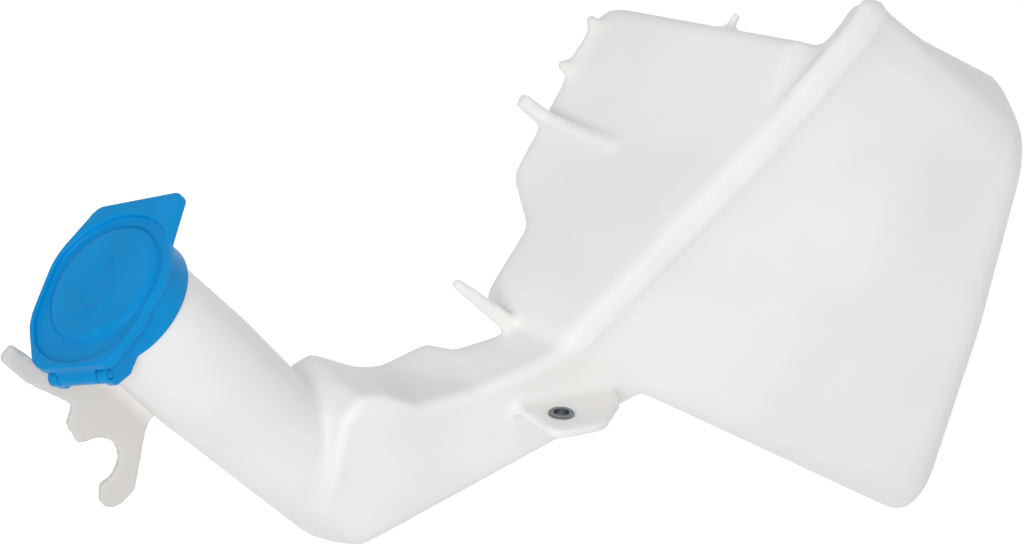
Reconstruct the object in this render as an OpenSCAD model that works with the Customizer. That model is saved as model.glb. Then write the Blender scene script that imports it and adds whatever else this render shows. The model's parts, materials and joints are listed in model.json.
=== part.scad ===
// Windscreen washer fluid reservoir: a blow-moulded tank with a tall filler neck,
// a sloping duct between them, a flip cap, a bolted tab and a pipe hook.
// The origin is the centre of the filler mouth, +Z runs up the neck, +X runs towards the tank.

/* [Blow-moulded wall] */
// Thickness of the tank wall
wall = 2.4; // [1.6:0.1:3.4]
// Height of the parting line bead
bead = 1.6; // [0.6:0.1:2.4]

/* [Filler neck] */
// Outer radius of the neck at its mouth
neck_r = 27.5; // [25:0.5:30]
// Outer radius of the neck at its foot
neck_foot_r = 22.5; // [21:0.5:25]
// Height from the mouth down to the elbow floor
neck_h = 170; // [150:1:220]
// Length of the straight neck finish under the cap
finish_h = 60; // [20:1:80]
// Radius of the elbow floor's edge
elbow_edge_r = 16; // [8:1:20]
// Reach of the elbow's round end past the neck axis
elbow_l = 21; // [18:0.5:21.5]
// Height of the snap bead above the neck surface
snap_h = 0.9; // [0.5:0.1:1.4]
// Depth of the snap bead below the mouth
snap_drop = 7; // [5:0.5:10]
// Width of the snap bead
snap_w = 3; // [2:0.5:4]

/* [Duct] */
// Front face of the duct, ahead of the neck axis
duct_front = 28; // [26:0.5:32]
// Back face of the duct beside the neck
duct_back = 22; // [18:0.5:24]
// Back face of the duct where it meets the tank
duct_end_back = 7; // [4:0.5:16]
// Height of the shoulder above the elbow floor
shoulder_h = 66; // [50:1:70]
// Reach of the shoulder from the neck axis
shoulder_l = 35; // [32:1:44]
// Drop of the roof from the shoulder to the ramp
shoulder_drop = 34; // [24:1:38]
// Edge radius of the duct
duct_edge_r = 8; // [5:0.5:10]
// Fall of the duct floor for each mm along it
floor_fall = 0.44; // [0.35:0.01:0.5]
// How far the duct runs on inside the tank
duct_run = 34; // [26:1:38]

/* [Tank] */
// Left end of the tank from the neck axis
tank_x = 102; // [94:1:130]
// Length of the tank along its front
tank_l = 203; // [180:1:240]
// Front of the tank's bow, ahead of the neck axis
tank_front = 34; // [32:1:45]
// Back of the tank, behind the neck axis
tank_back = 86; // [75:1:110]
// Drop from the elbow floor to the tank's front top edge
tank_drop = 2; // [0:1:10]
// Height of the tank at its left end
tank_h = 204; // [170:1:240]
// Rise of the tank floor for each mm along it
tank_rise = 0.6; // [0.4:0.01:0.64]
// Rise of the tank roof for each mm towards the back
roof_rise = 0.18; // [0.05:0.01:0.25]
// Edge radius around the tank roof
roof_edge_r = 6; // [4:0.5:6.5]
// Edge radius around the tank floor
floor_edge_r = 17; // [8:1:18]
// Extra length of the rounding at the floor's left end
heel = 20; // [0:1:20]
// How far the front bows out past the tank's left end
front_bow = 6; // [3:1:12]
// Length of the slanted cheek at the right end of the front
cheek_l = 18; // [14:1:24]
// Length of the nose at the right end
nose_l = 34; // [28:1:44]
// Thickness of the nose
nose_w = 14.5; // [14:0.5:18]
// Drop of the roof towards the nose's back edge
nose_drop = 6; // [0:1:10]
// Distance from the tank's left end to the fullest part of its bow
bow_l = 128; // [110:1:140]
// Distance from the tank's left end to its back right corner
back_l = 124; // [110:1:134]
// Distance from the tank's left end to the step in its back wall
step_l = 44; // [36:1:52]
// How much shallower the tank is at that step
back_slant = 26; // [15:1:30]
// Depth of the step in the back wall
jog = 25; // [15:1:30]
// How much shallower the tank is at its left end
left_slant = 60; // [52:1:66]
// How far the left end leans in at the floor
lean = 46; // [20:1:50]

/* [Bolted tab] */
// Thickness of the tab
tab_t = 4.5; // [3:0.5:8]
// Reach of the tab ahead of the duct's front face
tab_reach = 31; // [29:1:45]
// Length of the tab along the slope
tab_l = 47; // [38:1:60]
// Distance of the hole ahead of the duct's front face
tab_hole_y = 15; // [12:0.5:18]
// Distance of the hole from the tab's upper edge
tab_hole_s = 15; // [13:0.5:20]
// Radius of the bush
bush_r = 5.5; // [5:0.1:7]
// Radius of the bolt hole in the bush
bolt_r = 3.3; // [2.6:0.1:4]
// How far the bush stands proud of the tab on each face
bush_proud = 0.8; // [0.4:0.1:2]

/* [Pipe hook] */
// Thickness of the hook plate
hook_t = 4; // [3:0.5:6]
// Distance of the hook plate behind the neck axis
hook_y = 15.5; // [13:0.5:16]
// Radius of the pipe that the hook holds
pipe_r = 11; // [9:0.5:12]
// Reach of the pipe's centre from the neck axis
pipe_x = 58.6; // [58:0.1:66]
// Depth of the pipe's centre below the mouth
pipe_drop = 62.7; // [56:0.1:66]
// Width of the hook's jaws
jaw_w = 13; // [8:0.5:15]
// Height of the guide arm's tip above the mouth
arm_top = 10; // [8:1:16]
// Width of the guide arm
arm_w = 8.5; // [6:0.5:10]

/* [Hose fingers] */
// Thickness of the fingers
finger_t = 4; // [3:0.5:6]
// Width of the fingers
finger_w = 5; // [4:0.5:8]
// Height of the tall finger beside the duct
tall_finger_h = 42; // [24:1:46]
// Height of the roof rib at the back edge
rib_h = 17; // [10:1:24]
// Length of the roof rib
rib_l = 44; // [30:1:50]
// Thickness of the roof rib
rib_t = 6; // [4:0.5:8]
// Height of the clip fingers on the back edge
clip_h = 7; // [5:1:14]
// Spacing of the clip fingers
clip_gap = 22; // [16:1:30]
// Length of the peg on the right end
peg_l = 8; // [6:1:16]
// Distance of the peg from the tank's back
peg_back = 58; // [48:1:66]

/* [Cap] */
// Direction of the cap's pull tab, turned from +X
cap_turn = 32; // [24:1:44]
// Wall of the collar around the neck
collar_wall = 3; // [2.5:0.5:5]
// Drop of the collar below the mouth
collar_drop = 12.5; // [12:0.5:16]
// Thickness of the collar's top
collar_top = 2.2; // [1.5:0.1:3]
// Overhang of the lid past the collar
lid_over = 3.5; // [3.5:0.5:6]
// Thickness of the lid's plate
lid_t = 2.2; // [1.5:0.1:3]
// Height of the rim around the lid's plate
rim_h = 2.6; // [1.4:0.2:3.6]
// Width of that rim
rim_w = 2.5; // [1.8:0.1:3.2]
// Margin between the raised disc and the lid's edge
disc_margin = 5.5; // [4.5:0.5:8]
// Height of the raised disc
disc_h = 2.6; // [1.6:0.2:4]
// Width of the raised disc's round edge
disc_edge = 4; // [2:0.5:5]
// Reach of the pull tab past the lid's edge
pull_out = 8.2; // [5:0.2:12]
// Width of the pull tab's edge
pull_w = 44; // [30:1:48]
// How far the pull tab's left corner is set back
pull_slant = 4; // [0:0.5:7]
// Length of the lid's plug below the mouth
plug_drop = 5; // [3:0.5:8]
// Wall of the plug
plug_wall = 2; // [1.2:0.1:3]

/* [Cap hinge] */
// Distance of the hinge pin outside the collar
hinge_out = 10; // [8:0.5:12]
// Radius of the hinge pin
pin_r = 2; // [1.5:0.1:2.5]
// Radius of the hinge knuckles
knuckle_r = 3.8; // [3.2:0.1:4.2]
// Width of the lid's knuckle
knuckle_w = 22; // [16:0.5:24]
// Thickness of the collar's ears
ear_t = 5; // [3:0.5:6]

/* [Clearances] */
// Running clearance around the hinge pin
pin_gap = 0.08; // [0.02:0.01:0.1]
// Side clearance between knuckle and ears
side_gap = 0.4; // [0.3:0.05:0.8]
// Gap between the lid's plate and the collar
lid_gap = 0.4; // [0.3:0.05:0.8]
// Gap around the lid's plug
plug_gap = 0.7; // [0.5:0.05:1]
// Gap between the collar and the neck
collar_gap = 0.2; // [0.1:0.05:0.3]

/* [Hidden] */
$fn = 96;
hdpe = "#e9e9e6";
cap_blue = "#0791d0";
steel = "#8d9094";

// Rounded corners have this many steps, and no corner is sharper than the least radius
arc_steps = 5;
least_r = 0.6;
far = 400;

// Levels of the duct and the tank
elbow_z = -neck_h;
shoulder_z = elbow_z + shoulder_h;
ramp_z = shoulder_z - shoulder_drop;
roof_z = elbow_z - tank_drop;
floor_z = roof_z - tank_h;
neck_bore_r = neck_r - wall;

// Stations along the duct: distance from the neck axis, back face, front and back roof levels
shoulder_start = 24;
ramp_start = shoulder_l + 15;
step_x = shoulder_l + 35;
duct_join = tank_x - 8;
duct_end = tank_x + duct_run;
step_z = (ramp_z + roof_z) / 2;
function elbow_station(t) = [
    -elbow_l * sin(t), neck_foot_r * cos(t) - 1,
    shoulder_z - 26 - 15 * sin(t), shoulder_z - 10 - 28 * sin(t)
];
duct_stations = [
    each [for (t = [77, 59, 30, 0]) elbow_station(t)],
    [shoulder_start, duct_back, shoulder_z - 9, shoulder_z],
    [shoulder_l, duct_back, shoulder_z - 8, shoulder_z - 5],
    [shoulder_l + 8, duct_back, shoulder_z - 14, ramp_z + 5],
    [ramp_start, duct_back, ramp_z, ramp_z - 3],
    [step_x, duct_back, step_z, step_z + 5],
    [step_x + 6, duct_end_back + 2, step_z - 3, step_z + 2],
    [duct_join, duct_end_back, roof_z + 4, roof_z + 7],
    [tank_x + 14, duct_end_back, roof_z - 5, roof_z - 5],
    [duct_end, duct_end_back, roof_z - 12, roof_z - 12]
];

// Corners of the tank seen from above, counter-clockwise: x, y, radius
tank_end = tank_x + tank_l;
front_mid = tank_x + bow_l;
back_right = tank_x + back_l;
back_left = tank_x + step_l;
nose_back = nose_w + front_bow + 1 - tank_front;
roof_corners = [
    [tank_x + 3, front_bow - tank_front, 10],
    [front_mid, -tank_front, 60],
    [tank_end - cheek_l, 2 - tank_front, 10],
    [tank_end, front_bow + 1 - tank_front, 6],
    [tank_end - 8, nose_back, 5],
    [tank_end - nose_l, nose_back - 1, 8],
    [back_right, tank_back, 10],
    [back_left, tank_back - back_slant, 8],
    [back_left - 12, tank_back - back_slant - jog, 6],
    [tank_x - 4, tank_back - left_slant, 8]
];
function floor_corners(shift) = [
    [tank_x + lean + shift, -tank_front - 4, 18],
    [front_mid, -tank_front - 8, 60],
    [tank_end - cheek_l + 4, -tank_front - 4, 18],
    [tank_end, 2 - tank_front, 18],
    [tank_end + 10, nose_back + 10, 16],
    [tank_end - nose_l + 14, nose_back + 36, 16],
    [back_right + 10, tank_back - 19, 17],
    [back_left + 30, tank_back - back_slant - 4, 17],
    [back_left + 20, tank_back - back_slant - jog - 2, 16],
    [tank_x + lean + shift, tank_back - left_slant + 2, 17]
];

// Radii of the cap, from the neck outwards
collar_r = neck_r + collar_wall;
lid_r = collar_r + lid_over;
disc_r = lid_r - disc_margin;
pull_x = lid_r + pull_out;
hinge_x = collar_r + hinge_out;

// Heights of the cap's faces above the mouth
plate_z = collar_top + lid_gap;
plate_top = plate_z + lid_t;
disc_top = plate_top + disc_h;
hinge_z = plate_z - knuckle_r - lid_gap;
plug_r = neck_bore_r - plug_gap;
ear_y = knuckle_w / 2 + side_gap;
hinge_w = 2 * (ear_y + ear_t);

// Tab frame: its plane holds the Y axis and falls to the right at this angle
tab_angle = 45;
tab_x = ramp_start + 24;
tab_z = ramp_z - 36;

function mix(a, b, t) = a + (b - a) * t;
function edge_normal(a, b) = let (d = (b - a) / norm(b - a)) [-d.y, d.x];

// Points around corner b of a loop that runs a, b, c, with the loop moved inward by inset
function corner_arc(a, b, c, r, inset) =
    let (
        n1 = edge_normal(a, b),
        n2 = edge_normal(b, c),
        turn = atan2(n1.x * n2.y - n1.y * n2.x, n1 * n2),
        side = turn < 0 ? -1 : 1,
        bend = (n1 + n2) / (1 + n1 * n2),
        radius = max(r - side * inset, least_r),
        centre = b + (inset + side * radius) * bend,
        start = atan2(n1.y, n1.x)
    )
    [
        for (k = [0:arc_steps])
            let (t = start + turn * k / arc_steps)
            centre - side * radius * [cos(t), sin(t)]
    ];

// Closed loop of points through corners of the form x, y, radius
function rounded_loop(corners, inset = 0) =
    let (n = len(corners), p = [for (c = corners) [c.x, c.y]])
    [
        for (i = [0:n - 1])
            each corner_arc(p[(i + n - 1) % n], p[i], p[(i + 1) % n], corners[i].z, inset)
    ];

// Solid skinned over rings of equal length, each counter-clockwise seen from the last one
module loft(rings) {
    m = len(rings[0]);
    n = len(rings);
    polyhedron(
        points = [for (ring = rings) each ring],
        faces = concat(
            [[for (i = [0:m - 1]) i], [for (i = [m - 1:-1:0]) (n - 1) * m + i]],
            [
                for (k = [0:n - 2], i = [0:m - 1])
                    let (j = (i + 1) % m, low = k * m, high = low + m)
                    each [[low + i, high + i, high + j], [low + i, high + j, low + j]]
            ]
        )
    );
}

// Tank body, moved inward by skin
nose_mid = nose_back - nose_w / 2;
function on_nose(x, y) = x > tank_end - nose_l - 8 && y > nose_mid && y < nose_back + 1;
function roof_at(x, y) = roof_z + roof_rise * (y + tank_front) - (on_nose(x, y) ? nose_drop : 0);
function floor_at(x) = floor_z + tank_rise * (x - tank_x - lean);

module tank_body(skin) {
    lip = skin > 0 ? 0 : bead;
    low_r = floor_edge_r - skin;
    top_r = roof_edge_r - skin;
    low_rings = [
        for (k = [arc_steps:-1:0])
            let (a = 90 * k / arc_steps)
            [for (p = rounded_loop(floor_corners(heel * (1 - cos(a))), skin + low_r * (1 - cos(a))))
                [p.x, p.y, floor_at(p.x) + skin + low_r * (1 - sin(a))]]
    ];
    bead_rings = [
        for (step = [[0, 2.2], [1, 1.5], [1, 0.7]])
            [for (p = rounded_loop(roof_corners, skin - lip * step[0]))
                [p.x, p.y, roof_at(p.x, p.y) - skin - top_r - lip * step[1] - least_r * (2 - step[0])]]
    ];
    top_rings = [
        for (k = [0:arc_steps])
            let (a = 90 * k / arc_steps)
            [for (p = rounded_loop(roof_corners, skin + top_r * (1 - cos(a))))
                [p.x, p.y, roof_at(p.x, p.y) - skin - top_r * (1 - sin(a))]]
    ];
    loft(concat(low_rings, bead_rings, top_rings));
}

// Share of the duct's depth that is left where it closes round the elbow
function elbow_round(x) = x < 0 ? sqrt(1 - pow(x / elbow_l, 2)) : 1;

// Duct from the elbow into the tank, moved inward by skin
module duct_body(skin) {
    lip = skin > 0 ? 0 : bead;
    corner_count = arc_steps + 1;
    loft([
        for (s = duct_stations)
            let (
                full = elbow_round(s.x),
                front = -duct_front * full,
                low = elbow_z - 2 - floor_fall * max(s.x, 0) + elbow_edge_r * (1 - full),
                edge = min(duct_edge_r, (s.y - front) * 0.44),
                loop = rounded_loop(
                    [
                        [front, low, edge],
                        [s.y, low, edge],
                        [s.y, s[3], edge],
                        [front, s.z, edge]
                    ],
                    skin
                )
            )
            [
                for (i = [0:len(loop) - 1])
                    let (swell = i < 3 * corner_count ? 0 : sin(180 * (i % corner_count) / arc_steps))
                    [s.x + (s.x < 0 ? skin : -skin), loop[i].x - lip * swell, loop[i].y + lip * swell]
            ]
    ]);
}

// Neck and elbow, moved inward by skin and drawn up to top_z
module neck_body(skin, top_z) {
    edge = elbow_edge_r - skin;
    foot = neck_foot_r - skin;
    low = elbow_z + skin;
    rotate_extrude()
        polygon(concat(
            [[0, low]],
            [for (k = [0:arc_steps])
                let (a = 90 * k / arc_steps)
                [foot - edge * (1 - sin(a)), low + edge * (1 - cos(a))]],
            [[neck_r - skin, -finish_h], [neck_r - skin, top_z], [0, top_z]]
        ));
}

// Ring that the collar snaps over
module snap_bead() {
    rise = snap_w / 3;
    rotate_extrude()
        polygon([
            [neck_r - wall / 2, -snap_drop - snap_w],
            [neck_r, -snap_drop - snap_w],
            [neck_r + snap_h, -snap_drop - snap_w + rise],
            [neck_r + snap_h, -snap_drop - rise],
            [neck_r, -snap_drop],
            [neck_r - wall / 2, -snap_drop]
        ]);
}

// Puts a shape drawn in the tab's plane in place: x down the slope, y towards the duct
module on_tab() {
    translate([tab_x, -duct_front, tab_z])
        rotate([0, tab_angle, 0])
            children();
}

module tab_plate() {
    on_tab()
        translate([0, 0, -tab_t / 2])
            linear_extrude(tab_t)
                polygon(rounded_loop([
                    [4, -tab_reach, 8],
                    [tab_l - 18, -tab_reach + 2, 8],
                    [tab_l - 1, -tab_reach + 21, 7],
                    [tab_l, wall, 2],
                    [0, wall, 2]
                ]));
}

module tab_hole(r, length) {
    on_tab()
        translate([tab_hole_s, -tab_hole_y, 0])
            cylinder(r = r, h = length, center = true);
}

// Flat hook left of the neck, with a guide arm that stands up beside the cap
module hook_plate() {
    root_x = wall / 2 - sqrt(pow(neck_foot_r, 2) - pow(hook_y + hook_t / 2, 2));
    jaw_low = -pipe_r - jaw_w;
    arm_z = pipe_drop + arm_top;
    arm_x = pipe_r - 5;
    translate([-pipe_x, hook_y + hook_t / 2, -pipe_drop])
        rotate([90, 0, 0])
            linear_extrude(hook_t)
                difference() {
                    polygon(rounded_loop([
                        [-pipe_r - 2, jaw_low + 6, 4],
                        [-pipe_r + 3, jaw_low, 4],
                        [2, jaw_low - 2, 7],
                        [pipe_r + 14, -8, 12],
                        [pipe_x + root_x, -4, 1],
                        [pipe_x + root_x, pipe_drop - collar_drop - 4, 1],
                        [arm_x + arm_w + 2, pipe_drop - collar_drop - 4, 5],
                        [arm_x + arm_w, arm_z, 2],
                        [arm_x, arm_z - 1, 2],
                        [arm_x, arm_z - 20, 20],
                        [pipe_r + 1, pipe_r + 17, 4],
                        [4, pipe_r + 13, 4],
                        [1, pipe_r + 2, 3],
                        [pipe_r - 3, 6, 1],
                        [pipe_r - 3, -6, 1],
                        [-4, -pipe_r + 3, 3]
                    ]));
                    circle(pipe_r);
                }
}

// Upright finger with a round tip, standing at its foot's centre
module finger(height, width, foot) {
    rotate([90, 0, 0])
        translate([0, 0, -finger_t / 2])
            linear_extrude(finger_t) {
                polygon([
                    [-foot / 2, 0],
                    [foot / 2, 0],
                    [width / 2, height - width / 2],
                    [-width / 2, height - width / 2]
                ]);
                translate([0, height - width / 2])
                    circle(width / 2);
            }
}

// Triangular rib on the roof, tall at the back edge
module roof_rib() {
    x = back_left + 26;
    y = tank_back - 20;
    sunk = wall + 2;
    translate([x, y, roof_at(x, y)])
        rotate([0, 0, 16])
            rotate([90, 0, 90])
                translate([0, 0, -rib_t / 2])
                    linear_extrude(rib_t)
                        polygon([
                            [-rib_l, -sunk - roof_rise * rib_l],
                            [0, -sunk],
                            [0, rib_h],
                            [-finger_w, rib_h],
                            [-finger_w - 4, rib_h / 3],
                            [-rib_l, 2 - roof_rise * rib_l]
                        ]);
}

// Small fingers, clips and a peg around the roof that guide the hoses
module hose_fingers() {
    clip_x = back_right - 9;
    clip_y = tank_back - 9;
    peg_y = tank_back - peg_back;
    peg_x = mix(back_right, tank_end - nose_l, (tank_back - peg_y) / (tank_back - nose_back));
    translate([tank_x - 2, duct_end_back - finger_t, roof_z])
        rotate([0, -4, 0])
            finger(tall_finger_h, finger_w, finger_w + 3);
    roof_rib();
    for (k = [0, 1])
        translate([clip_x - k * clip_gap, clip_y - 6 * k, roof_at(clip_x, clip_y) - 4])
            finger(clip_h + 4, finger_w, finger_w + 2);
    translate([clip_x - clip_gap, clip_y - 6 - finger_t / 2, roof_at(clip_x, clip_y) - 4])
        rotate([0, 0, 15])
            cube([clip_gap + 2, finger_t, 7]);
    translate([peg_x - 4, peg_y, roof_at(peg_x, peg_y) - roof_edge_r])
        rotate([0, 90, 8])
            cylinder(r = finger_t / 2, h = peg_l + 4);
}

// Fuses its children into one skin, at their own size
module moulded() {
    resize([0, 0, 0])
        children();
}

module tank_shell() {
    color(hdpe)
        moulded()
            difference() {
                union() {
                    neck_body(0, 0);
                    snap_bead();
                    duct_body(0);
                    tank_body(0);
                    hose_fingers();
                }
                neck_body(wall, 1);
                duct_body(wall);
                tank_body(wall);
            }
}

// Flange moulded on the duct's front, drawn apart from the shell along their common face
module bolt_tab() {
    color(hdpe)
        difference() {
            moulded()
                difference() {
                    tab_plate();
                    duct_body(0);
                    tank_body(0);
                }
            tab_hole(bush_r, far / 10);
        }
}

// Hook moulded on the neck, drawn apart from the shell along their common face
module pipe_hook() {
    color(hdpe)
        moulded()
            difference() {
                hook_plate();
                neck_body(0, 0);
            }
}

// Steel sleeve that takes the bolt's clamp load
module mount_bush() {
    half = tab_t / 2 + bush_proud;
    edge = bush_proud / 2;
    color(steel)
        on_tab()
            translate([tab_hole_s, -tab_hole_y, 0])
                rotate_extrude()
                    polygon([
                        [bolt_r, -half],
                        [bush_r - edge, -half],
                        [bush_r, edge - half],
                        [bush_r, half - edge],
                        [bush_r - edge, half],
                        [bolt_r, half]
                    ]);
}

// Ring that snaps over the neck and carries the lid's hinge
module cap_collar() {
    sleeve = neck_r + collar_gap;
    groove = neck_r + snap_h + collar_gap;
    groove_top = collar_gap - snap_drop;
    groove_low = -snap_drop - snap_w - collar_gap;
    edge = 1;
    color(cap_blue)
        rotate([0, 0, cap_turn])
            difference() {
                union() {
                    rotate_extrude()
                        polygon([
                            [neck_bore_r, 0],
                            [sleeve, 0],
                            [sleeve, groove_top],
                            [groove, groove_top - 1],
                            [groove, groove_low + 1],
                            [sleeve, groove_low],
                            [sleeve, -collar_drop],
                            [collar_r - edge, -collar_drop],
                            [collar_r, edge - collar_drop],
                            [collar_r, collar_top - edge],
                            [collar_r - edge, collar_top],
                            [neck_bore_r, collar_top]
                        ]);
                    difference() {
                        for (s = [-1, 1])
                            translate([-hinge_x, s * (ear_y + ear_t / 2), hinge_z])
                                hinge_ear();
                        cylinder(r = collar_r - edge, h = far, center = true);
                    }
                }
                translate([-hinge_x, 0, hinge_z])
                    rotate([90, 0, 0])
                        cylinder(r = pin_r + pin_gap, h = far, center = true);
            }
}

// One ear of the collar, from the hinge pin to the collar's wall
module hinge_ear() {
    reach = hinge_x + 1 - sqrt(pow(collar_r, 2) - pow(ear_y + ear_t, 2));
    rotate([90, 0, 0])
        translate([0, 0, -ear_t / 2])
            linear_extrude(ear_t) {
                circle(knuckle_r);
                polygon([
                    [0, knuckle_r],
                    [reach, collar_top - hinge_z - 1],
                    [reach, -collar_drop - hinge_z + 0.5],
                    [reach * 0.4, -collar_drop - hinge_z + 0.5],
                    [-knuckle_r * 0.5, -knuckle_r - 2],
                    [-knuckle_r * 0.7, -knuckle_r * 0.7]
                ]);
            }
}

// Outline of the lid from above, moved inward by inset: disc, pull tab and hinge flange
module lid_outline(inset) {
    side = lid_r * 0.9;
    flange = hinge_w / 2 + 4.6;
    circle(lid_r - inset);
    polygon(rounded_loop(
        [
            [-hinge_x - 1, -flange, 8],
            [-lid_r * 0.58, -lid_r * 0.93, 12],
            [0, -side, 1],
            [pull_x + 1, -pull_w / 2 - 3.5, 4],
            [pull_x - pull_slant, pull_w / 2 - 1.5, 7],
            [lid_r * 0.42, lid_r * 1.02, 26],
            [-lid_r * 0.5, lid_r * 1.02, 26],
            [-hinge_x - 1, flange, 12]
        ],
        inset
    ));
}

// Sunk field around the raised disc, between the rim and the pull tab
module lid_field() {
    intersection() {
        lid_outline(rim_w);
        translate([-3, 0])
            circle(lid_r + 2);
    }
}

// Hollow under the pull tab
module pull_pocket() {
    difference() {
        lid_outline(lid_t);
        translate([-far, -far])
            square([far + lid_r + 1.5, 2 * far]);
    }
}

// Flip lid with its pull tab, plug and hinge pins
module cap_lid() {
    color(cap_blue)
        rotate([0, 0, cap_turn]) {
            difference() {
                union() {
                    translate([0, 0, plate_z])
                        linear_extrude(lid_t)
                            lid_outline(0);
                    translate([0, 0, plate_z])
                        linear_extrude(lid_t + rim_h)
                            difference() {
                                lid_outline(0);
                                lid_field();
                            }
                    rotate_extrude()
                        polygon([
                            [0, plate_z],
                            [disc_r, plate_z],
                            [disc_r, plate_top],
                            [disc_r - disc_edge * 0.2, plate_top + disc_h * 0.5],
                            [disc_r - disc_edge * 0.55, plate_top + disc_h * 0.86],
                            [disc_r - disc_edge, disc_top],
                            [0, disc_top]
                        ]);
                    rotate_extrude()
                        polygon([
                            [0, -plug_drop],
                            [plug_r - 0.8, -plug_drop],
                            [plug_r, 0.8 - plug_drop],
                            [plug_r, plate_z + lid_t / 2],
                            [0, plate_z + lid_t / 2]
                        ]);
                }
                translate([0, 0, -plug_drop - 1])
                    cylinder(r = plug_r - plug_wall, h = plug_drop + 1 + disc_top - lid_t);
                translate([0, 0, plate_z - 1])
                    linear_extrude(rim_h + 1)
                        pull_pocket();
            }
            translate([-hinge_x, 0, hinge_z])
                lid_knuckle();
        }
}

// Knuckle under the lid's edge, with a pin at each end
module lid_knuckle() {
    rotate([90, 0, 0]) {
        cylinder(r = pin_r, h = 2 * (ear_y + ear_t), center = true);
        translate([0, 0, -knuckle_w / 2])
            linear_extrude(knuckle_w) {
                circle(knuckle_r);
                translate([-1, 0])
                    square([knuckle_r + 1, plate_z - hinge_z + lid_t / 2]);
            }
    }
}

tank_shell();
bolt_tab();
pipe_hook();
mount_bush();
cap_collar();
cap_lid();
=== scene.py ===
"""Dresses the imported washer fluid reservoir: its blow-moulded shell, its flip cap and its bush."""
import json
import math

import bmesh
import bpy
from bpy.props import FloatProperty, FloatVectorProperty, IntProperty, PointerProperty
from bpy.types import Operator, Panel, PropertyGroup
from mathutils import Matrix, Vector
from mathutils.bvhtree import BVHTree


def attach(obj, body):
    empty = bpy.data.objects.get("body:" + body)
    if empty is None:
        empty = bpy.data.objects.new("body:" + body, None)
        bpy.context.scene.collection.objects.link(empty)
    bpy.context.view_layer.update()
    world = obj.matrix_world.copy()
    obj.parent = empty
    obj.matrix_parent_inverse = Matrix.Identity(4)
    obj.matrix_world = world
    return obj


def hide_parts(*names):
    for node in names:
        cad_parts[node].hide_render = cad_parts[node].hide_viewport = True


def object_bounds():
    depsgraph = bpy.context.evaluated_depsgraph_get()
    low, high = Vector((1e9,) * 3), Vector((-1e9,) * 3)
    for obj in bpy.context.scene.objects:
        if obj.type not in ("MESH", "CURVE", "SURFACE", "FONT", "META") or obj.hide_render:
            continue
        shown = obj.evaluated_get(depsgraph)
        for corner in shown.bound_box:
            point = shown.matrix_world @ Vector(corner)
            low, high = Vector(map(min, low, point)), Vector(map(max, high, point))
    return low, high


bl_info = {
    "name": "Washer fluid reservoir",
    "version": (1, 0, 0),
    "blender": (4, 5, 0),
    "location": "View3D > Sidebar > Reservoir",
    "description": "Builds the visible pieces of a washer fluid reservoir around its CAD frame",
    "category": "Object",
}

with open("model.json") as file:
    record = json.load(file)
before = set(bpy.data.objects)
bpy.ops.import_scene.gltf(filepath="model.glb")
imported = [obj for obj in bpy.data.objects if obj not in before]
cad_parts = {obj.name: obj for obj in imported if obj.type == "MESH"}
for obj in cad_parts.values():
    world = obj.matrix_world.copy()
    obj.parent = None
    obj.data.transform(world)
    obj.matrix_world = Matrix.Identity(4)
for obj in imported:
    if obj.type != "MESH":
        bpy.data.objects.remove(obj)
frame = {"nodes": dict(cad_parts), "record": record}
CAD_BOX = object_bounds()
MM = 0.001
# points closer together than this are merged
WELD = 0.001 * MM
# edges that turn by more than this angle stay crisp
SHELL_CREASE = math.radians(50)
CAP_CREASE = math.radians(60)
BOLT = next(m for m in frame["record"]["mounts"] if m["name"] == "bracket_bolt")
BUSH_WALL = 2.2 * MM
SHELL_NODES = ("tank_shell", "bolt_tab", "pipe_hook")


def linear(code):
    """Linear RGBA of an sRGB hex colour."""
    parts = [int(code[i:i + 2], 16) / 255 for i in (1, 3, 5)]
    return [c / 12.92 if c <= 0.04045 else ((c + 0.055) / 1.055) ** 2.4 for c in parts] + [1.0]


def length(name, description, size):
    """A property for a length that is given in millimetres."""
    return FloatProperty(
        name=name, description=description, default=size * MM, min=0.0, unit="LENGTH", precision=5
    )


def passes(name, description, count):
    """A property for a number of smoothing passes."""
    return IntProperty(name=name, description=description, default=count, min=0)


def colour(name, description, code):
    """A property for a colour that is given as sRGB hex."""
    return FloatVectorProperty(
        name=name, description=description, default=linear(code),
        size=4, min=0.0, max=1.0, subtype="COLOR",
    )


class ReservoirSettings(PropertyGroup):
    """Sizes and colours of the visible pieces."""

    shell_grid: length("Shell grid", "Spacing of the shell's points", 1.5)
    cap_grid: length("Cap grid", "Spacing of the cap's points", 0.5)
    edge_rounds: passes("Edge rounding", "Smoothing passes over every edge of the shell", 3)
    body_rounds: passes("Body rounding", "Further passes over the blown body", 6)
    thin_wall: length("Thin wall", "Flanges and fingers under this thickness keep their edges", 9.0)
    mouth_r: length("Mouth radius", "Clear radius of the filler mouth", 25.1)
    foot_r: length("Neck foot radius", "Clear radius at the neck's foot", 20.1)
    cap_rounds: passes("Cap rounding", "Smoothing passes over the edges of the cap", 3)
    lid_rounds: passes("Lid rounding", "Further passes over the top of the lid", 4)
    relief: length("Relief", "Height of the raised marks on the lid", 0.7)
    line_w: length("Line width", "Width of the raised line that draws the drop", 1.3)
    shell_light: colour("Shell, light", "Colour of the shell where it was stretched thin", "#f6f4f2")
    shell_deep: colour("Shell, deep", "Colour of the shell where it stayed thick", "#eeecea")
    # painted shade: the darker tone painted on the hook, for the shade it lies in
    hook_painted_shade: colour("Shell, flange", "Colour of the solid flange of the hook", "#d8d5d1")
    cap_face: colour("Cap", "Colour of the cap", "#0092d8")
    cap_deep: colour("Cap, deep", "Colour of the cap's deeper clouds", "#008acd")
    bush_face: colour("Bush", "Colour of the bush's plating", "#858c92")
    floor: colour("Floor", "Colour of the floor", "#fbfbfb")


def set_inputs(node, values):
    """Sets constants directly on a node's sockets."""
    for name, value in values.items():
        node.inputs[name].default_value = value


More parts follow.
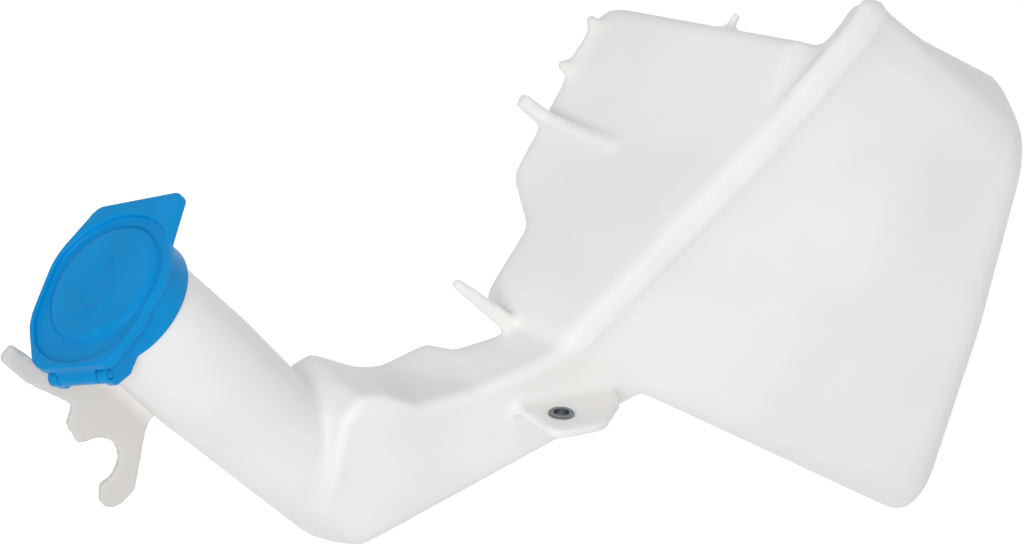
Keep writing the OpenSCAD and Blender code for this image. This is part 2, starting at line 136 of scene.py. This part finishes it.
def add_node(tree, kind, links=None, inputs=None, **settings):
    """Adds a node to a tree with its settings, its input values and the sockets that feed it."""
    made = tree.nodes.new(kind)
    for name, value in settings.items():
        setattr(made, name, value)
    set_inputs(made, inputs or {})
    for name, socket in (links or {}).items():
        tree.links.new(socket, made.inputs[name])
    return made


def new_material(name):
    """An empty material, its node tree and its surface shader."""
    made = bpy.data.materials.new(name)
    made.use_nodes = True
    return made, made.node_tree, made.node_tree.nodes["Principled BSDF"]


def object_place(tree):
    """Socket with the place on the piece, in metres."""
    return add_node(tree, "ShaderNodeTexCoord").outputs["Object"]


def noise(tree, place, size, detail, roughness=0.5):
    """Socket with noise from 0 to 1 whose clouds are about this size."""
    return add_node(
        tree, "ShaderNodeTexNoise", {"Vector": place},
        {"Scale": 1 / size, "Detail": detail, "Roughness": roughness},
    ).outputs["Fac"]


def two_tone(tree, value, low, high, start=0.0, end=1.0):
    """Socket with a colour that runs from low to high as the value goes from start to end."""
    made = add_node(tree, "ShaderNodeValToRGB", {"Fac": value})
    first, last = made.color_ramp.elements
    first.position, first.color = start, low
    last.position, last.color = end, high
    return made.outputs["Color"]


def spread(tree, value, low, high, start=0.0, end=1.0):
    """Socket with a number that runs from low to high as the value goes from start to end."""
    return add_node(
        tree, "ShaderNodeMapRange", {"Value": value},
        {"From Min": start, "From Max": end, "To Min": low, "To Max": high},
    ).outputs["Result"]


def bump(tree, height, strength, depth):
    """Socket with the normal of a skin that is embossed by a height from 0 to 1."""
    return add_node(
        tree, "ShaderNodeBump", {"Height": height}, {"Strength": strength, "Distance": depth}
    ).outputs["Normal"]


def moulded_hdpe(settings):
    """Natural high-density polyethylene, blow-moulded: milky and waxy, because light goes a few
    millimetres into the wall, and whiter where the parison was stretched thin. Its skin has the soft
    orange peel of a blown part that cooled against a sandblasted mould."""
    made, tree, shader = new_material("natural_hdpe_blow_moulded")
    place = object_place(tree)
    stretch = noise(tree, place, 70 * MM, 2.0, 0.4)
    tone = two_tone(tree, stretch, settings.shell_deep, settings.shell_light, 0.35, 0.65)
    # the hook is a solid flange squeezed in the mould; its darker tone is painted shade, standing in for
    # the shade it lies in behind the cap and the neck
    sides = add_node(tree, "ShaderNodeSeparateXYZ", {"Vector": place})
    flange_x, neck_x = -34 * MM, -25 * MM
    hook_shade_share = spread(tree, sides.outputs["X"], 1.0, 0.0, flange_x, neck_x)
    blend = add_node(
        tree, "ShaderNodeMixRGB", {"Fac": hook_shade_share, "Color1": tone}, {"Color2": settings.hook_painted_shade}
    )
    tree.links.new(blend.outputs["Color"], shader.inputs["Base Color"])
    scuff = noise(tree, place, 18 * MM, 4.0, 0.6)
    tree.links.new(spread(tree, scuff, 0.38, 0.52), shader.inputs["Roughness"])
    # the orange peel is about 1 mm on the real skin and is drawn at 2.4 mm, so that it shows
    peel = noise(tree, place, 2.4 * MM, 1.0)
    tree.links.new(bump(tree, peel, 0.25, 0.12 * MM), shader.inputs["Normal"])
    set_inputs(shader, {
        "IOR": 1.54,
        "Specular IOR Level": 0.35,
        "Subsurface Weight": 0.35,
        "Subsurface Radius": (1.0, 0.96, 0.9),
        "Subsurface Scale": 4 * MM,
    })
    return made


def moulded_pp(settings):
    """Polypropylene, injection-moulded and dyed in the mass: an even strong blue with a satin gloss,
    in clouds that are a trace deeper, over the fine grain of an eroded mould."""
    made, tree, shader = new_material("blue_pp_injection_moulded")
    place = object_place(tree)
    flow = noise(tree, place, 25 * MM, 2.0, 0.45)
    tone = two_tone(tree, flow, settings.cap_deep, settings.cap_face, 0.3, 0.7)
    tree.links.new(tone, shader.inputs["Base Color"])
    # eroded grain is about 0.2 mm and is drawn at 0.7 mm, so that it shows
    grain = noise(tree, place, 0.7 * MM, 1.0)
    tree.links.new(spread(tree, grain, 0.28, 0.4), shader.inputs["Roughness"])
    tree.links.new(bump(tree, grain, 0.2, 0.03 * MM), shader.inputs["Normal"])
    set_inputs(shader, {"IOR": 1.49, "Specular IOR Level": 0.12})
    return made


def plated_steel(settings):
    """Turned steel, zinc-plated and passivated: a cool grey metal, a little cloudy, with the rings that
    the tool left on its end faces."""
    made, tree, shader = new_material("zinc_plated_turned_steel")
    place = object_place(tree)
    cloud = noise(tree, place, 3 * MM, 3.0)
    darker = [c * 0.8 for c in settings.bush_face[:3]] + [1.0]
    tree.links.new(two_tone(tree, cloud, darker, settings.bush_face), shader.inputs["Base Color"])
    # rings around the bolt's axis, 0.25 mm of feed drawn at about 1 mm, so that they show; at a scale
    # of 1 the rings of a wave texture are pi / 10 apart
    ring_step = 0.987 * MM
    centred = add_node(
        tree, "ShaderNodeMapping", {"Vector": place},
        {"Location": BOLT["pos_m"], "Rotation": bolt_turn().to_euler()}, vector_type="TEXTURE",
    )
    rings = add_node(
        tree, "ShaderNodeTexWave", {"Vector": centred.outputs["Vector"]},
        {"Scale": math.pi / 10 / ring_step}, wave_type="RINGS", rings_direction="Z",
    )
    tree.links.new(bump(tree, rings.outputs["Fac"], 0.3, 0.03 * MM), shader.inputs["Normal"])
    set_inputs(shader, {"Metallic": 1.0, "Roughness": 0.38})
    return made


def pale_floor(settings):
    """Matt white card, evenly lit, so that the ground reads as a plain white sweep."""
    made, _, shader = new_material("white_card")
    set_inputs(shader, {
        "Base Color": settings.floor,
        "Roughness": 0.9,
        "Emission Color": settings.floor,
        "Emission Strength": 0.45,
    })
    return made


def node_mesh(*names):
    """The CAD nodes' meshes in one bmesh, with the points that their triangles share merged."""
    bm = bmesh.new()
    for name in names:
        bm.from_mesh(frame["nodes"][name].data)
    bmesh.ops.remove_doubles(bm, verts=bm.verts, dist=WELD)
    return bm


def new_object(bm, name):
    """An object at the origin made from a bmesh, which is freed."""
    mesh = bpy.data.meshes.new(name)
    bm.to_mesh(mesh)
    bm.free()
    made = bpy.data.objects.new(name, mesh)
    bpy.context.scene.collection.objects.link(made)
    return made


def settle(piece):
    """Applies a piece's modifiers to its mesh."""
    bpy.context.view_layer.update()
    shaped = piece.evaluated_get(bpy.context.evaluated_depsgraph_get())
    mesh = bpy.data.meshes.new_from_object(shaped)
    old = piece.data
    piece.modifiers.clear()
    piece.data = mesh
    bpy.data.meshes.remove(old)
    mesh.name = piece.name


def reskin(bm, name, grid):
    """One even skin of small quads around closed solids, with what they enclose filled."""
    piece = new_object(bm, name)
    remesh = piece.modifiers.new("skin", "REMESH")
    remesh.mode = "VOXEL"
    remesh.voxel_size = grid
    settle(piece)
    if not piece.data.polygons:
        raise RuntimeError(f"{name}: the skin came out empty")
    return piece


def relax(bm, verts, rounds):
    """Rounds edges and corners off by moving points halfway towards their neighbours."""
    for _ in range(rounds):
        bmesh.ops.smooth_vert(
            bm, verts=verts, factor=0.5, use_axis_x=True, use_axis_y=True, use_axis_z=True
        )


def wall_points(bm, thickness):
    """The points of a skin with more than this thickness of material under them."""
    tree = BVHTree.FromBMesh(bm)
    bm.normal_update()
    # rays start just under the skin, so that they don't meet the face they leave
    under = 0.1 * MM
    found = []
    for v in bm.verts:
        hit, _, _, depth = tree.ray_cast(v.co - v.normal * under, -v.normal)
        if hit is None or depth > thickness:
            found.append(v)
    return found


def carve(piece, cutter):
    """Cuts one object out of another and removes the cutter."""
    cut = piece.modifiers.new("carve", "BOOLEAN")
    cut.operation = "DIFFERENCE"
    cut.solver = "EXACT"
    cut.object = cutter
    settle(piece)
    tool = cutter.data
    bpy.data.objects.remove(cutter)
    bpy.data.meshes.remove(tool)


def finish_piece(piece, material, crease):
    """Gives a piece its material, and smooth shading with edges over an angle kept crisp."""
    piece.data.materials.clear()
    piece.data.materials.append(material)
    piece.data.shade_smooth()
    piece.data.set_sharp_from_angle(angle=crease)


def bolt_turn():
    """Rotation from Z to the bolt's axis."""
    return Vector((0, 0, 1)).rotation_difference(Vector(BOLT["axis"]))


def bolt_place():
    """Matrix that puts a shape on the bolt's axis."""
    return Matrix.Translation(Vector(BOLT["pos_m"])) @ bolt_turn().to_matrix().to_4x4()


def add_rod(bm, radius, depth, place, segments):
    """Adds a closed cylinder to a bmesh, centred on a place and along its Z."""
    bmesh.ops.create_cone(
        bm, cap_ends=True, segments=segments, radius1=radius, radius2=radius, depth=depth, matrix=place
    )


def turned(profile, steps):
    """Closed bmesh of a profile of (radius, height) points turned around Z."""
    bm = bmesh.new()
    points = [bm.verts.new((r, 0.0, z)) for r, z in profile]
    edges = [bm.edges.new(pair) for pair in zip(points, points[1:])]
    bmesh.ops.spin(
        bm, geom=points + edges, cent=(0, 0, 0), axis=(0, 0, 1),
        angle=math.tau, steps=steps, use_merge=True,
    )
    bmesh.ops.remove_doubles(bm, verts=bm.verts, dist=WELD)
    bmesh.ops.recalc_face_normals(bm, faces=bm.faces)
    return bm


def neck_bore(settings):
    """Closed bmesh of the clear space in the neck, from above its mouth to its rounded foot."""
    top, straight, deep = 4 * MM, -60 * MM, -150 * MM
    profile = [
        (0, top), (settings.mouth_r, top), (settings.mouth_r, straight),
        (settings.foot_r, deep), (settings.foot_r * 0.7, deep - 6 * MM), (0, deep - 8 * MM),
    ]
    return turned(profile, 64)


class RESERVOIR_OT_shell(Operator):
    """Mould the tank, its neck, its duct, the tab and the hook as one blown skin"""

    bl_idname = "reservoir.shell"
    bl_label = "Blow-moulded shell"

    def execute(self, context):
        settings = context.scene.reservoir
        bm = node_mesh(*SHELL_NODES)
        # the mouth and the bolt hole are filled for the skin, and cut sharply after it is rounded
        plug_r, plug_depth, plug_z = 26.2 * MM, 10 * MM, -6 * MM
        add_rod(bm, plug_r, plug_depth, Matrix.Translation((0, 0, plug_z)), 48)
        hole_r = BOLT["dims"]["r_mm"] * MM + BUSH_WALL
        overlap, fill_depth, cut_depth = 0.5 * MM, 4.4 * MM, 14 * MM
        add_rod(bm, hole_r + overlap, fill_depth, bolt_place(), 32)
        piece = reskin(bm, "moulded_shell", settings.shell_grid)
        bm = bmesh.new()
        bm.from_mesh(piece.data)
        relax(bm, bm.verts[:], settings.edge_rounds)
        relax(bm, wall_points(bm, settings.thin_wall), settings.body_rounds)
        bm.to_mesh(piece.data)
        bm.free()
        carve(piece, new_object(neck_bore(settings), "bore_cutter"))
        bm = bmesh.new()
        add_rod(bm, hole_r, cut_depth, bolt_place(), 48)
        carve(piece, new_object(bm, "hole_cutter"))
        finish_piece(piece, moulded_hdpe(settings), SHELL_CREASE)
        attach(piece, "reservoir")
        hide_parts(*SHELL_NODES)
        return {"FINISHED"}


def drop_distance(x, y, r_big, r_tip, reach):
    """Distance to a drop's outline, negative inside it: a big circle at the origin, a small one along x
    at its reach, and their tangents."""
    y = abs(y)
    lean = (r_big - r_tip) / reach
    flat = math.sqrt(1 - lean ** 2)
    along = flat * x - lean * y
    if along < 0:
        return math.hypot(x, y) - r_big
    if along > flat * reach:
        return math.hypot(x - reach, y) - r_tip
    return flat * y + lean * x - r_big


def soft_mark(distance):
    """Share of the relief: 1 inside a mark, falling softly to 0 within 1 mm across its edge."""
    share = min(max(0.5 - distance / MM, 0.0), 1.0)
    return share * share * (3 - 2 * share)


def lid_mark(x, y, line_w):
    """Share of the relief at a place on the lid, with x towards the pull: a drop drawn as a line, three
    small drops beside it and a stud at the pull's corner."""
    drop_x, row_x, middle_y, pitch = -4.5 * MM, -17 * MM, 1.5 * MM, 5 * MM
    big = drop_distance(x - drop_x, y - middle_y, 8.5 * MM, 0.8 * MM, 17 * MM)
    found = soft_mark(abs(big) - line_w / 2)
    for across in (-pitch, 0, pitch):
        small = drop_distance(x - row_x, y - middle_y - across, 1.3 * MM, 0.5 * MM, 2.6 * MM)
        found = max(found, soft_mark(small))
    stud_x, stud_y, stud_r, squash = 38.6 * MM, -18.2 * MM, 1.1 * MM, 0.7
    return max(found, soft_mark(math.hypot(x - stud_x, (y - stud_y) * squash) - stud_r))


class RESERVOIR_OT_cap(Operator):
    """Mould the collar and the flip lid of the cap, with the lid's raised marks"""

    bl_idname = "reservoir.cap"
    bl_label = "Flip cap"

    def execute(self, context):
        settings = context.scene.reservoir
        blue = moulded_pp(settings)
        for name, body, node in (
            ("cap_collar_ring", "reservoir", "cap_collar"),
            ("cap_flip_lid", "lid", "cap_lid"),
        ):
            piece = reskin(node_mesh(node), name, settings.cap_grid)
            bm = bmesh.new()
            bm.from_mesh(piece.data)
            relax(bm, bm.verts[:], settings.cap_rounds)
            if body == "lid":
                self.emboss(bm, settings)
            bm.to_mesh(piece.data)
            bm.free()
            finish_piece(piece, blue, CAP_CREASE)
            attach(piece, body)
            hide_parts(node)
        return {"FINISHED"}

    def emboss(self, bm, settings):
        """Softens the lid's top and raises the marks where it lies nearly level."""
        top_from, level = 3.4 * MM, 0.85
        upper = [v for v in bm.verts if v.co.z > top_from]
        relax(bm, upper, settings.lid_rounds)
        bm.normal_update()
        # the pull points 32 degrees round from x
        turn = Matrix.Rotation(math.radians(-32), 3, "Z")
        for v in upper:
            if v.normal.z > level:
                place = turn @ v.co
                v.co.z += settings.relief * lid_mark(place.x, place.y, settings.line_w)


class RESERVOIR_OT_bush(Operator):
    """Give the tab's steel bush its zinc-plated finish"""

    bl_idname = "reservoir.bush"
    bl_label = "Steel bush"

    def execute(self, context):
        bush = frame["nodes"]["mount_bush"]
        bush.data.materials.clear()
        bush.data.materials.append(plated_steel(context.scene.reservoir))
        return {"FINISHED"}


class RESERVOIR_OT_stage(Operator):
    """Set the floor, the soft studio light and the camera"""

    bl_idname = "reservoir.stage"
    bl_label = "Stage"

    def execute(self, context):
        scene = context.scene
        scene.view_settings.view_transform = "Standard"
        # the point of the part that lies in the middle of the picture
        middle = Vector((115.8, 0, -146.7)) * MM
        self.lay_floor(scene.reservoir)
        self.light(scene, middle)
        self.place_camera(scene, middle)
        return {"FINISHED"}

    def lay_floor(self, settings):
        """A wide card just under the part."""
        half, gap = 6.0, 1 * MM
        bm = bmesh.new()
        bmesh.ops.create_grid(
            bm, x_segments=8, y_segments=8, size=half,
            matrix=Matrix.Translation((0, 0, CAD_BOX[0].z - gap)),
        )
        floor = new_object(bm, "floor")
        floor.data.materials.append(pale_floor(settings))
        # light that bounces off the card would wash out the tank's front
        floor.visible_diffuse = False

    def light(self, scene, middle):
        """An even white surround and two soft boxes that face the part."""
        world = bpy.data.worlds.new("studio")
        world.use_nodes = True
        set_inputs(world.node_tree.nodes["Background"], {"Color": (1.0, 1.0, 1.0, 1.0), "Strength": 0.63})
        scene.world = world
        # name, place and width in metres, power in watts
        for name, place, size, power in (
            ("front_softbox", (-0.3, -1.3, 0.85), 0.8, 11.4),
            ("top_softbox", (0.0, 0.3, 1.8), 1.6, 0.8),
        ):
            lamp = bpy.data.lights.new(name, "AREA")
            lamp.size = size
            lamp.energy = power
            light = bpy.data.objects.new(name, lamp)
            light.location = place
            light.rotation_euler = (middle - Vector(place)).to_track_quat("-Z", "Y").to_euler()
            scene.collection.objects.link(light)

    def place_camera(self, scene, middle):
        """The photograph's view, from far off, because its lines are nearly parallel."""
        # the picture's right, up and backward directions in the frame
        right, up = (0.6691, -0.4472, -0.5934), (0.7431, 0.4027, 0.5343)
        back = (0.0, -0.7986, 0.6018)
        distance, wide = 10.0, 427 * MM
        lens = bpy.data.cameras.new("photo_view")
        lens.sensor_width = 36.0
        lens.lens = lens.sensor_width * distance / wide
        lens.clip_end = 5 * distance
        camera = bpy.data.objects.new("photo_view", lens)
        turn = Matrix((right, up, back)).transposed().to_4x4()
        camera.matrix_world = Matrix.Translation(middle + distance * Vector(back)) @ turn
        scene.collection.objects.link(camera)
        scene.camera = camera


OPERATORS = (RESERVOIR_OT_shell, RESERVOIR_OT_cap, RESERVOIR_OT_bush, RESERVOIR_OT_stage)


class RESERVOIR_PT_pieces(Panel):
    """Buttons for the reservoir's pieces and its settings"""

    bl_label = "Washer fluid reservoir"
    bl_space_type = "VIEW_3D"
    bl_region_type = "UI"
    bl_category = "Reservoir"

    def draw(self, context):
        for operator in OPERATORS:
            self.layout.operator(operator.bl_idname)
        for name in ReservoirSettings.__annotations__:
            self.layout.prop(context.scene.reservoir, name)


CLASSES = (ReservoirSettings, *OPERATORS, RESERVOIR_PT_pieces)


def register():
    for cls in CLASSES:
        bpy.utils.register_class(cls)
    bpy.types.Scene.reservoir = PointerProperty(type=ReservoirSettings)


def unregister():
    del bpy.types.Scene.reservoir
    for cls in reversed(CLASSES):
        bpy.utils.unregister_class(cls)


def main():
    """Builds every piece in order."""
    register()
    bpy.ops.reservoir.shell()
    bpy.ops.reservoir.cap()
    bpy.ops.reservoir.bush()
    bpy.ops.reservoir.stage()


if __name__ == "__main__":
    main()
